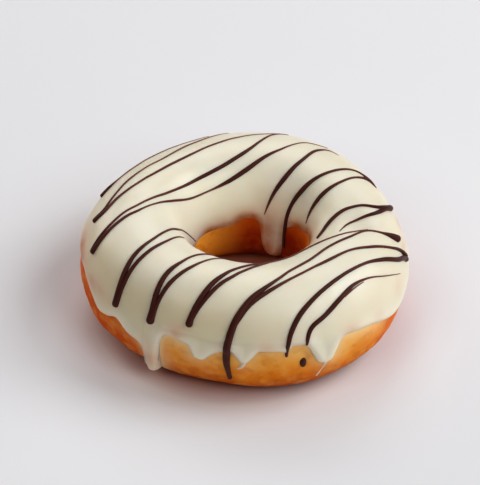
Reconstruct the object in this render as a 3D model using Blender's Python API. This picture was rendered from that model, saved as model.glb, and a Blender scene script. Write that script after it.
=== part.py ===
# Ring doughnut: a dough ring and its skin of icing with the drizzled chocolate fused on.
# Lengths are millimetres until a point goes into a mesh, angles are degrees, +Z is up.
# turn is the angle round the ring, from +X; lean is the angle round its section,
# 0 at the outer belly, 90 on top, 180 at the inner belly, 270 underneath.
import math

import bmesh
import bpy
from mathutils import Vector

MM = 0.001

# Driving sizes of the outer surface
OUT_R = 45.0
HOLE_R = 15.1
HEIGHT = 32.5
BELLY_Z = 15.0
HOLE_BELLY_Z = 12.2
BASE_CUT = 0.9
CREST_SHARE = 0.49
OUT_FULLNESS = 0.88
HOLE_FULLNESS = 0.91

# Unevenness of the hand-made ring, as (order, cosine share, sine share)
OUT_WAVES = ((2, 0.38, -0.20), (3, -1.23, -0.83), (4, 0.13, -0.05), (5, 0.14, -0.05))
HOLE_WAVES = ((1, -0.09, 0.99), (2, 0.86, -0.21), (3, -0.09, 0.73))
TOP_WAVES = ((1, -0.80, -0.46),)

# The crease across the right of the crown
CREASE_Y = -9.0
CREASE_SLOPE = 0.27
CREASE_PIVOT_X = 30.0
CREASE_DEPTH = 3.6
CREASE_FALL = 4.0
CREASE_RISE = 22.0
CREASE_FROM_X = 6.0
CREASE_TO_X = 28.0
CREASE_IN = 10.0
CREASE_OUT = 8.0
CREASE_ROOM = 1.3
CREASE_AHEAD = 3.0

# Layers: how far each lies under or over the outer surface
BARE_SINK = 0.25
COVERED_SINK = 1.7
LAYER_GAP = 0.45
SKIN_LIFT = 0.1
EDGE_LIFT = 0.45
DRIP_LIFT = 1.1
DRIP_CLEAR = 0.2
BLEND = 24.0
EDGE_ROUND = 5.0
HANG = 0.9
DRIP_FILL = 0.55

# The icing's edges, outside and in the hole: lean, with swells and drips as (turn, half width, drop)
RIM = 11.0
RIM_SWELLS = (
    (-171.0, 10.0, -4.0),
    (-149.0, 14.0, 11.0),
    (-72.0, 9.0, -5.0),
    (-28.0, 30.0, 13.0),
    (34.0, 16.0, 8.0),
    (88.0, 16.0, 7.0),
    (141.0, 18.0, 9.0),
)
RIM_DRIPS = (
    (-134.5, 5.0, 11.0),
    (-126.8, 4.0, 42.0),
    (-107.0, 6.5, 12.0),
    (-91.0, 5.0, 10.0),
    (-61.5, 6.0, 17.0),
    (8.0, 7.0, 14.0),
    (61.0, 6.0, 19.0),
    (113.0, 7.0, 15.0),
    (160.0, 5.0, 14.0),
)
HOLE_RIM = 172.0
HOLE_SWELLS = ((5.0, 42.0, -20.0), (130.0, 40.0, 5.0), (-152.0, 20.0, 6.0), (-110.0, 20.0, -8.0))
HOLE_DRIPS = ((62.0, 14.0, 46.0), (-70.0, 13.0, 14.0))

# The drizzle's strokes on the surface as (turn, lean), and half widths at start, middle, end
STROKES = (
    (((168, 40), (156, 50), (143, 57), (128, 61), (113, 62), (101, 52)), (0.9, 0.4, 0.4)),
    (((182, 47), (175, 62), (160, 75), (141, 82), (125, 77), (105, 65), (94, 52)), (1.0, 0.45, 0.4)),
    (((183, 46), (175, 70), (160, 87), (140, 94), (120, 91), (98, 79), (85, 68), (72, 57)),
     (0.9, 0.45, 0.5)),
    (((196, 37), (191, 61), (182, 85), (170, 104), (152, 120), (131, 125), (112, 119), (93, 100),
      (82, 77), (71, 55)), (1.0, 0.5, 0.4)),
    (((195, 35), (190, 74), (179, 100), (163, 126), (148, 136), (120, 138), (96, 126), (81, 108),
      (66, 80), (56, 59), (46, 56)), (0.9, 0.5, 0.6)),
    (((47, 58), (54, 70), (54, 88), (57, 115), (64, 141), (71, 163)), (0.7, 0.55, 0.3)),
    (((23, 49), (30, 48), (35, 70), (37, 96), (40, 122), (46, 150), (48, 190)), (1.0, 0.6, 0.6)),
    (((24, 47), (28, 53), (28, 79), (26, 105), (24, 130), (21, 151)), (0.9, 0.5, 0.3)),
    (((11, 39), (7, 58), (8, 82), (5, 106), (-3, 124), (-13, 136)), (1.1, 0.6, 0.5)),
    (((12, 37), (4, 60), (-1, 82), (-6, 98), (-14, 114)), (1.0, 0.6, 0.4)),
    (((-11, 79), (-19, 96), (-29, 112), (-42, 122), (-60, 121), (-80, 115)), (0.3, 0.4, 0.45)),
    (((-74, 119), (-92, 104), (-103, 85), (-108, 62), (-111, 45), (-111, 27)), (0.5, 0.7, 1.2)),
    (((-77, 112), (-90, 98), (-99, 80), (-107, 57), (-110, 25)), (0.45, 0.7, 1.1)),
    (((-142, 17), (-144, 47), (-148, 80), (-157, 112), (-178, 142), (-200, 163), (-212, 178)),
     (1.1, 0.6, 0.4)),
    (((-141, 15), (-142, 41), (-143, 80), (-148, 112), (-158, 136), (-180, 150)), (1.0, 0.6, 0.4)),
    (((-127, 18), (-128, 52), (-128, 84), (-123, 112), (-117, 135)), (1.2, 0.6, 0.5)),
    (((-126, 16), (-125, 48), (-120, 84), (-112, 116), (-105, 134)), (1.1, 0.6, 0.5)),
    (((-6, 36), (-11, 63), (-18, 84), (-33, 95), (-53, 96), (-74, 86), (-87, 70), (-93, 43),
      (-97, 10), (-97, -6), (-96, -23)), (1.1, 0.65, 0.8)),
    (((-7, 18), (-12, 40), (-26, 74), (-40, 87), (-58, 87), (-76, 77), (-90, 56)), (1.1, 0.55, 0.6)),
    (((-8, 16), (-15, 33), (-30, 60), (-48, 66), (-62, 60), (-72, 41), (-76, 16), (-76, 6)),
     (1.0, 0.65, 0.6)),
    (((-19, 21), (-32, 46), (-44, 54), (-58, 43), (-68, 30), (-69, 15)), (0.35, 0.6, 0.5)),
)
BEAD_HEIGHT = 0.8
BEAD_SIDES = 5
BEAD_STEP = 6.0

# A fallen drop of chocolate on the bare dough
DROP_TURN = -69.0
DROP_LEAN = -11.0
DROP_SIZE = (0.8, 0.7, 1.35)

# Fineness
ICING_COLUMNS = 90
ICING_OUTER_ROWS = (5, 6, 5)
ICING_INNER_ROWS = (5, 5, 5)
DOUGH_COLUMNS = 64
DOUGH_ROWS = 22
FRONT_TURN = -90.0
FRONT_SHARE = 0.42
ROW_SHARE = 0.35
PROBE = 0.5
FLAT_ENOUGH = 1.8
SAME_PLACE = 1e-6

# Puts the middle of the whole box over the origin
SHIFT_X = 0.8365
SHIFT_Y = -0.5126


def waves(turn, terms):
    """Sum of a few sine waves round the ring."""
    angle = math.radians(turn)
    return sum(c * math.cos(k * angle) + s * math.sin(k * angle) for k, c, s in terms)


def ease(value):
    """Smooth step from 0 to 1."""
    value = min(max(value, 0.0), 1.0)
    return value * value * (3.0 - 2.0 * value)


def apart(turn, other):
    """Signed angle from one turn to another, within half a turn."""
    return (turn - other + 180.0) % 360.0 - 180.0


def crease(x, y):
    """Depth of the crease at a place seen from above."""
    ahead = y - (CREASE_Y + CREASE_SLOPE * (x - CREASE_PIVOT_X))
    across = ease(ahead / CREASE_FALL) * (1.0 - ease((ahead - CREASE_FALL) / CREASE_RISE))
    along = ease((x - CREASE_FROM_X) / CREASE_IN) * (1.0 - ease((x - CREASE_TO_X) / CREASE_OUT))
    return CREASE_DEPTH * across * along


def surface(turn, lean):
    """A point of the doughnut's outer surface, not yet cut flat underneath."""
    angle = math.radians(turn)
    cosine = math.cos(math.radians(lean))
    sine = math.sin(math.radians(lean))
    out_r = OUT_R + waves(turn, OUT_WAVES)
    hole_r = HOLE_R + waves(turn, HOLE_WAVES)
    top = HEIGHT + waves(turn, TOP_WAVES)
    crest = hole_r + (out_r - hole_r) * CREST_SHARE
    if cosine > 0.0:
        belly = BELLY_Z
        fullness = OUT_FULLNESS
        radius = crest + (out_r - crest) * abs(cosine) ** fullness
    else:
        belly = BELLY_Z + (HOLE_BELLY_Z - BELLY_Z) * abs(cosine)
        fullness = HOLE_FULLNESS
        radius = crest - (crest - hole_r) * abs(cosine) ** fullness
    rise = abs(sine) ** fullness
    height = belly + (top - belly) * rise if sine > 0.0 else belly - (belly + BASE_CUT) * rise
    x = radius * math.cos(angle)
    y = radius * math.sin(angle)
    return Vector((x, y, height - crease(x, y) * max(sine, 0.0) ** 0.7))


def outward(turn, lean):
    """The surface's outward direction."""
    round_ring = surface(turn + PROBE, lean) - surface(turn - PROBE, lean)
    round_section = surface(turn, lean + PROBE) - surface(turn, lean - PROBE)
    return round_ring.cross(round_section).normalized()


def bump(offset):
    """A lobe's outline: flat at the tip, flared where it leaves the edge."""
    return ease(1.6 * (1.0 - abs(offset))) if abs(offset) < 1.0 else 0.0


def lobed(turn, lobes):
    """Total drop of the lobes at a turn."""
    return sum(drop * bump(apart(turn, centre) / half) for centre, half, drop in lobes)


def rims(turn):
    """Leans of the icing's edges without their drips."""
    return RIM - lobed(turn, RIM_SWELLS), HOLE_RIM + lobed(turn, HOLE_SWELLS)


def edges(turn):
    """Leans of the icing's outer and inner edge."""
    low, high = rims(turn)
    return low - lobed(turn, RIM_DRIPS), high + lobed(turn, HOLE_DRIPS)


def sink(turn, lean):
    """How deep the dough lies under the outer surface, deeper below the icing."""
    low, high = rims(turn)
    covered = ease((lean - low) / BLEND) * ease((high - lean) / BLEND)
    return BARE_SINK + (COVERED_SINK - BARE_SINK) * covered


def dough_point(turn, lean):
    """A point of the dough, cut flat underneath."""
    on_top = surface(turn, lean)
    point = on_top - outward(turn, lean) * sink(turn, lean)
    early = max(crease(on_top.x, on_top.y + CREASE_AHEAD * share) for share in (0.0, 0.5, 1.0))
    room = CREASE_ROOM * early - crease(on_top.x, on_top.y)
    point.z -= max(room, 0.0) * max(math.sin(math.radians(lean)), 0.0)
    point.z = max(point.z, 0.0)
    return point


def lift(turn, lean):
    """How far the icing stands over the outer surface, more at its edges and in drips."""
    low, high = rims(turn)
    below = max(low - lean, lean - high)
    near_edge = ease((below + BLEND) / BLEND)
    return SKIN_LIFT + (EDGE_LIFT - SKIN_LIFT) * near_edge + DRIP_LIFT * ease(below / BLEND)


def icing_point(turn, lean, inner, edge_away):
    """A point of the icing: its free side or the side that faces the dough."""
    point = surface(turn, lean)
    normal = outward(turn, lean)
    rise = lift(turn, lean)
    rim_low, rim_high = rims(turn)
    below = max(rim_low - lean, lean - rim_high)
    thickness = rise + sink(turn, lean) - LAYER_GAP - DRIP_CLEAR * ease(below / BLEND + 1.0)
    belly = 0.0 if lean < 90.0 else 180.0
    if lean < 0.0 or lean > 180.0:
        at_belly = surface(turn, belly)
        reach = Vector((at_belly.x - point.x, at_belly.y - point.y, 0.0)) * HANG
        point += reach
        thickness += reach.length * DRIP_FILL
        normal = outward(turn, belly)
    near = 1.0 - min(max(edge_away, 0.0) / EDGE_ROUND, 1.0)
    roundness = math.sqrt(1.0 - near * near)
    side = 1.0 - roundness if not inner else 1.0 + roundness
    return point + normal * (rise - 0.5 * thickness * side)


def column_turn(share):
    """Columns stand closer together at the front, where the drips are."""
    plain = 360.0 * share
    return plain + math.degrees(FRONT_SHARE * math.sin(math.radians(plain - FRONT_TURN + 180.0)))


def ring_object(name, columns, rows, place):
    """A torus whose points are moved to place(column share, row)."""
    bpy.ops.mesh.primitive_torus_add(major_segments=columns, minor_segments=rows)
    ring = bpy.context.object
    ring.name = name
    for index, vertex in enumerate(ring.data.vertices):
        point = place(index // rows / columns, index % rows)
        vertex.co = (point + Vector((SHIFT_X, SHIFT_Y, 0.0))) * MM
    return ring


def place_dough(share, row):
    """The dough's rows are closer together where the icing's edge lies."""
    plain = 360.0 * row / DOUGH_ROWS
    lean = plain - math.degrees(ROW_SHARE * 0.5 * math.sin(math.radians(2.0 * plain)))
    return dough_point(column_turn(share), lean)


def icing_lean(turn, step, counts):
    """Lean after some steps: close ones along both edges, even ones between."""
    low, high = edges(turn)
    rim_low, rim_high = rims(turn)
    first, middle, last = counts
    from_lean = rim_low + BLEND
    to_lean = rim_high - BLEND
    if step <= first:
        return low + (from_lean - low) * (1.0 - math.cos(0.5 * math.pi * step / first))
    if step <= first + middle:
        return from_lean + (to_lean - from_lean) * (step - first) / middle
    return to_lean + (high - to_lean) * math.sin(0.5 * math.pi * (step - first - middle) / last)


def place_icing(share, row):
    """The icing's rows run over its free side and back along the dough."""
    turn = column_turn(share)
    low, high = edges(turn)
    over = sum(ICING_OUTER_ROWS)
    inner = row > over
    if inner:
        lean = icing_lean(turn, over + sum(ICING_INNER_ROWS) - row, ICING_INNER_ROWS)
    else:
        lean = icing_lean(turn, row, ICING_OUTER_ROWS)
    return icing_point(turn, lean, inner, min(lean - low, high - lean))


def spline(points, count):
    """Evenly counted places on a smooth line through points."""
    ends = [points[0], *points, points[-1]]
    places = []
    for index in range(count):
        along = index / (count - 1) * (len(points) - 1)
        span = min(int(along), len(points) - 2)
        t = along - span
        four = ends[span:span + 4]
        places.append(tuple(
            0.5 * (2 * b + (c - a) * t + (2 * a - 5 * b + 4 * c - d) * t * t
                   + (3 * b - a - 3 * c + d) * t ** 3)
            for a, b, c, d in zip(*four)))
    return places


def bead_centre(turn, lean, half_width):
    """Where a bead's middle lies: in the icing's surface, or clear of bare dough."""
    low, high = edges(turn)
    on_icing = lift(turn, lean)
    off_icing = LAYER_GAP - BARE_SINK + half_width * BEAD_HEIGHT
    past = ease((max(low - lean, lean - high) + 6.0) / 6.0)
    height = on_icing + (max(off_icing, on_icing) - on_icing) * past
    return surface(turn, lean) + outward(turn, lean) * height


def bead(name, points, widths):
    """One stroke of drizzle as a closed bead of six sides with pointed ends."""
    rough = [bead_centre(*place, widths[1]) for place in spline(points, 40)]
    length = sum((b - a).length for a, b in zip(rough, rough[1:]))
    count = max(4, round(length / BEAD_STEP) + 1)
    places = spline(points, count)
    halves = [value[0] for value in spline([(w,) for w in widths], count)]
    centres = [bead_centre(*place, half) for place, half in zip(places, halves)]
    mesh = bmesh.new()
    rings = []
    for index, (place, half) in enumerate(zip(places, halves)):
        ahead = centres[min(index + 1, count - 1)] - centres[max(index - 1, 0)]
        normal = outward(*place)
        side = normal.cross(ahead).normalized()
        rings.append([
            mesh.verts.new((centres[index] + side * half * math.cos(angle)
                            + normal * half * BEAD_HEIGHT * math.sin(angle)
                            + Vector((SHIFT_X, SHIFT_Y, 0.0))) * MM)
            for angle in (2.0 * math.pi * k / BEAD_SIDES for k in range(BEAD_SIDES))])
    for first, second in zip(rings, rings[1:]):
        for k in range(BEAD_SIDES):
            after = (k + 1) % BEAD_SIDES
            mesh.faces.new((first[k], first[after], second[after], second[k]))
    for ring, centre, toward, half in (
            (rings[0], centres[0], centres[0] - centres[1], halves[0]),
            (rings[-1], centres[-1], centres[-1] - centres[-2], halves[-1])):
        tip = mesh.verts.new((centre + toward.normalized() * half
                              + Vector((SHIFT_X, SHIFT_Y, 0.0))) * MM)
        for k in range(BEAD_SIDES):
            mesh.faces.new((ring[k], ring[(k + 1) % BEAD_SIDES], tip))
    bmesh.ops.recalc_face_normals(mesh, faces=mesh.faces)
    data = bpy.data.meshes.new(name)
    mesh.to_mesh(data)
    mesh.free()
    return bpy.data.objects.new(name, data)


def chocolate_drop():
    """The fallen drop, half sunk in the dough."""
    mesh = bmesh.new()
    bmesh.ops.create_uvsphere(mesh, u_segments=10, v_segments=6, radius=1.0)
    centre = dough_point(DROP_TURN, DROP_LEAN) + Vector((SHIFT_X, SHIFT_Y, 0.0))
    turned = Vector((1.0, 0.0, 0.0)).rotation_difference(outward(DROP_TURN, DROP_LEAN))
    for vertex in mesh.verts:
        local = Vector((vertex.co.x * DROP_SIZE[1], vertex.co.y * DROP_SIZE[0],
                        vertex.co.z * DROP_SIZE[2]))
        vertex.co = (centre + turned @ local) * MM
    data = bpy.data.meshes.new("chocolate_drop")
    mesh.to_mesh(data)
    mesh.free()
    return bpy.data.objects.new("chocolate_drop", data)


def triangulated(target):
    """Flat faces only, so that a union stays exact."""
    mesh = bmesh.new()
    mesh.from_mesh(target.data)
    bmesh.ops.triangulate(mesh, faces=mesh.faces)
    mesh.to_mesh(target.data)
    mesh.free()


def fuse(target, extras, holder):
    """Join extras onto target with one union, then clear them away."""
    tools = bpy.data.collections.new(holder)
    bpy.context.scene.collection.children.link(tools)
    for extra in extras:
        triangulated(extra)
        tools.objects.link(extra)
        extra.hide_render = True
        extra.display_type = "WIRE"
    triangulated(target)
    union = target.modifiers.new("union", "BOOLEAN")
    union.operation = "UNION"
    union.operand_type = "COLLECTION"
    union.collection = tools
    union.solver = "EXACT"
    bpy.context.view_layer.objects.active = target
    bpy.ops.object.modifier_apply(modifier=union.name)
    for extra in list(tools.objects):
        bpy.data.objects.remove(extra, do_unlink=True)
    bpy.data.collections.remove(tools)


def clean(target):
    """Merge doubled points and nearly flat faces, and keep only the one outer body."""
    mesh = bmesh.new()
    mesh.from_mesh(target.data)
    bmesh.ops.remove_doubles(mesh, verts=mesh.verts, dist=SAME_PLACE)
    bmesh.ops.dissolve_limit(mesh, angle_limit=math.radians(FLAT_ENOUGH), verts=mesh.verts,
                             edges=mesh.edges)
    bmesh.ops.triangulate(mesh, faces=mesh.faces)
    left = set(mesh.verts)
    bodies = []
    while left:
        start = left.pop()
        body = {start}
        front = [start]
        while front:
            for edge in front.pop().link_edges:
                for vertex in edge.verts:
                    if vertex in left:
                        left.discard(vertex)
                        body.add(vertex)
                        front.append(vertex)
        bodies.append(body)
    bodies.sort(key=len)
    for body in bodies[:-1]:
        bmesh.ops.delete(mesh, geom=list(body), context="VERTS")
    bmesh.ops.recalc_face_normals(mesh, faces=mesh.faces)
    mesh.to_mesh(target.data)
    mesh.free()


def paint(target, name, colour, roughness):
    """Give a node its own plain material."""
    material = bpy.data.materials.new(name)
    material.use_nodes = True
    shader = material.node_tree.nodes["Principled BSDF"]
    shader.inputs["Base Color"].default_value = colour
    shader.inputs["Roughness"].default_value = roughness
    target.data.materials.clear()
    target.data.materials.append(material)


def build():
    """Make both nodes in one collection."""
    for item in list(bpy.data.objects):
        bpy.data.objects.remove(item, do_unlink=True)
    parts = bpy.data.collections.new("ring_doughnut")
    bpy.context.scene.collection.children.link(parts)
    dough = ring_object("dough", DOUGH_COLUMNS, DOUGH_ROWS, place_dough)
    icing_rows = sum(ICING_OUTER_ROWS) + sum(ICING_INNER_ROWS)
    icing = ring_object("icing", ICING_COLUMNS, icing_rows, place_icing)
    for node in (dough, icing):
        for home in list(node.users_collection):
            home.objects.unlink(node)
        parts.objects.link(node)
    fuse(dough, [chocolate_drop()], "drop_tools")
    fuse(icing, [bead("stroke_%02d" % index, points, widths)
                 for index, (points, widths) in enumerate(STROKES)], "drizzle_tools")
    clean(dough)
    clean(icing)
    paint(dough, "baked_dough", (0.58, 0.24, 0.06, 1.0), 0.6)
    paint(icing, "ivory_icing", (0.84, 0.78, 0.64, 1.0), 0.35)


build()
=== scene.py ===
import math

import bmesh
import bpy
import numpy as np
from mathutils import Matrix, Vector, kdtree, noise


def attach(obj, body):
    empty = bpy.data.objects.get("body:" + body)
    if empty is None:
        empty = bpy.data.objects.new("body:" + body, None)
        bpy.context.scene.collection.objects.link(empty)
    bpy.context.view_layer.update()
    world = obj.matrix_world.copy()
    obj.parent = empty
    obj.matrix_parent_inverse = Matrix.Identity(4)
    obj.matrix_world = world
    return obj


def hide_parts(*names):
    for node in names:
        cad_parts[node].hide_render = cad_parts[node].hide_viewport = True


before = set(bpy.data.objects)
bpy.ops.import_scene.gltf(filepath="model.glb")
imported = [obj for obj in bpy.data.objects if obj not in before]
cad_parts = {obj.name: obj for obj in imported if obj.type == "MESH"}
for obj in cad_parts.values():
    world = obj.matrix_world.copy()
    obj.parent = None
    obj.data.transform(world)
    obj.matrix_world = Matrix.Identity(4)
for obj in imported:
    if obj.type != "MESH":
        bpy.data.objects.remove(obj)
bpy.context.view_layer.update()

# Shape lengths are millimetres until a point goes into a mesh; angles are degrees.
# turn is the angle round the ring, from +X; lean is the angle round its section,
# 0 at the outer belly, 90 on top, 180 at the inner belly, 270 underneath.
MM = 0.001

# Driving sizes of the outer surface: the part's own, but for a fuller foot in the hole
# and a crease that ends softer
OUT_R = 45.0
HOLE_R = 15.1
HEIGHT = 32.5
BELLY_Z = 15.0
HOLE_BELLY_Z = 12.2
BASE_CUT = 0.9
CREST_SHARE = 0.49
OUT_FULLNESS = 0.88
HOLE_FULLNESS = 0.91
FOOT_FULLNESS = 0.6
OUT_WAVES = ((2, 0.38, -0.20), (3, -1.23, -0.83), (4, 0.13, -0.05), (5, 0.14, -0.05))
HOLE_WAVES = ((1, -0.09, 0.99), (2, 0.86, -0.21), (3, -0.09, 0.73))
TOP_WAVES = ((1, -0.80, -0.46),)
CREASE_Y = -9.0
CREASE_SLOPE = 0.27
CREASE_PIVOT_X = 30.0
CREASE_DEPTH = 3.6
CREASE_FALL = 4.0
CREASE_RISE = 22.0
CREASE_FROM_X = 6.0
CREASE_TO_X = 27.0
CREASE_IN = 10.0
CREASE_OUT = 12.0
CREASE_FADE = 0.7
SHIFT = np.array((0.8365, -0.5126, 0.0))

# Layers over and under the outer surface
BARE_SINK = 0.05
COVERED_SINK = 1.7
CREASE_LEAD = (0.0, 1.5, 3.0)
CREASE_ROOM = 1.3
LAP = 0.35
HOLE_LAP = 0.15
SKIN_LIFT = 0.1
EDGE_LIFT = 0.5
DRIP_LIFT = 0.7
BLEND = 24.0
HANG = 0.6
LOWEST_GLAZE = 1.5

# The icing's rounded lips, and the faint fold that runs along its front
LIP_ROUND = 1.5
HOLE_LIP_ROUND = 2.8
LIP_SWELL = 0.34
LIP_FROM_EDGE = 1.7
LIP_SPREAD = 1.5
FOLD_LEAN = 18.0
FOLD_SPREAD = 1.8
FOLD_FROM = -128.0
FOLD_TO = -68.0
FOLD_FADE = 8.0
FOLD_DEPTH = 0.22

# Fine relief as sums of noise: (height, size of a lump, seed)
CRUST_RELIEF = ((0.16, 9.0, 1), (0.07, 3.2, 2), (0.03, 1.1, 3))
ICING_RELIEF = ((0.10, 14.0, 4), (0.05, 5.0, 5))
ROUGHER_OUTSIDE = 0.35
CALMER_IN_HOLE = 0.75
SEED_STEPS = (17.3, 5.1, 9.7)
NOISE_GAIN = 1.8

# Broad swells of the icing's edges: (turn, half width, drop)
SWELL_FLARE = 1.6
RIM = 11.0
RIM_SWELLS = (
    (-171.0, 10.0, -4.0),
    (-149.0, 14.0, 11.0),
    (-72.0, 9.0, -5.0),
    (-28.0, 30.0, 13.0),
    (34.0, 16.0, 8.0),
    (88.0, 16.0, 7.0),
    (141.0, 18.0, 9.0),
)
HOLE_RIM = 172.0
HOLE_SWELLS = ((5.0, 42.0, -20.0), (130.0, 40.0, 5.0), (-152.0, 20.0, 6.0), (-110.0, 20.0, -8.0))

# The icing's edges with every lip and drip: (turn, lean), once round
RIM_LINE = (
    (-175, 16), (-166, 16), (-161, 13), (-156, 6), (-150, 0), (-146.5, 1), (-141.5, 5), (-138, 1),
    (-134.2, -2), (-131.6, -3.5), (-129.8, -8.5), (-129.1, -20), (-129.0, -31), (-128.9, -37),
    (-128.1, -40.2), (-126.5, -41), (-124.9, -40), (-124.1, -37), (-123.7, -31), (-123.2, -22),
    (-122.9, -10), (-122.4, 2), (-121, 9), (-118.5, 11.5), (-115, 9.5), (-111.8, 8), (-110.6, 3.5),
    (-109.2, -0.8), (-106.2, -1.8), (-103.5, 2), (-101, 6), (-96.2, 9), (-94.4, 6), (-92, 0.5),
    (-90.6, 0.5), (-87.8, 6), (-85.5, 11.5), (-79.5, 11.5), (-76.6, 10), (-75.4, 12.5), (-74, 15.5),
    (-70.6, 15.5), (-69, 12), (-67.3, 4), (-65.6, -2.5), (-63.2, -5), (-60.8, -3.5), (-58.4, 4),
    (-56.6, 11), (-54.5, 13), (-50, 11), (-44, 8), (-38, 3), (-32, -1), (-25, -3), (-12, -1), (-2, 6),
    (4, -2), (8, -5), (12, 1), (18, 9), (34, 3), (50, 8), (56, 2), (61, -8), (66, 4), (76, 8),
    (88, 3), (101, 9), (108, 2), (113, -4), (118, 5), (128, 8), (141, 2), (153, 9), (158, -1),
    (160.5, -3), (164, 7), (172, 13),
)
HOLE_LINE = (
    (-168, 181), (-152, 180), (-137, 174), (-120, 166), (-100, 165), (-82, 176), (-76, 181.4),
    (-70, 182.9), (-64, 181), (-56, 174), (-40, 171), (-24, 160), (-8, 150), (6, 153), (20, 161),
    (34, 166), (43, 171), (46.5, 180), (49.5, 191), (52.5, 203.4), (56, 210.5), (60.5, 213),
    (65, 212.5), (69, 206), (71.8, 195), (74.3, 184), (77, 176), (80, 171), (85, 169), (90, 169),
    (96, 171), (105, 175), (122, 177), (132, 178), (148, 181), (160, 183), (172, 182),
)

# Places where the icing is thin and the dough shows through: (turn, lean, size, share)
THIN_PLACES = (
    (-177.0, 25.0, 8.0, 0.75),
    (-167.0, 19.0, 6.5, 0.6),
    (-157.0, 18.0, 6.0, 0.5),
    (-149.0, 18.0, 5.5, 0.48),
    (-127.0, -16.0, 9.0, 0.65),
    (-116.0, 17.0, 4.8, 0.64),
    (-99.0, 12.0, 3.5, 0.35),
    (-83.0, 15.0, 5.0, 0.5),
    (-73.0, 19.0, 3.6, 0.35),
    (-53.0, 16.0, 4.5, 0.5),
    (-40.0, 11.0, 4.0, 0.3),
    (-24.0, 14.0, 5.0, 0.35),
    (-6.0, 24.0, 5.0, 0.45),
    (8.0, 24.0, 7.0, 0.65),
    (66.0, 188.0, 17.0, 0.95),
    (100.0, 168.0, 6.0, 0.4),
    (30.0, 30.0, 6.0, 0.25),
    (80.0, 24.0, 6.0, 0.3),
    (125.0, 22.0, 6.0, 0.3),
)

# The icing is also thin along its edges, more where the outer edge lies high on the side
LIP_THIN = 0.2
HIGH_LIP_THIN = 0.45
HIGH_LIP_FROM = 4.0
HIGH_LIP_FADE = 6.0
LIP_THIN_WIDTH = 1.2
HOLE_LIP_THIN_WIDTH = 4.0

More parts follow.
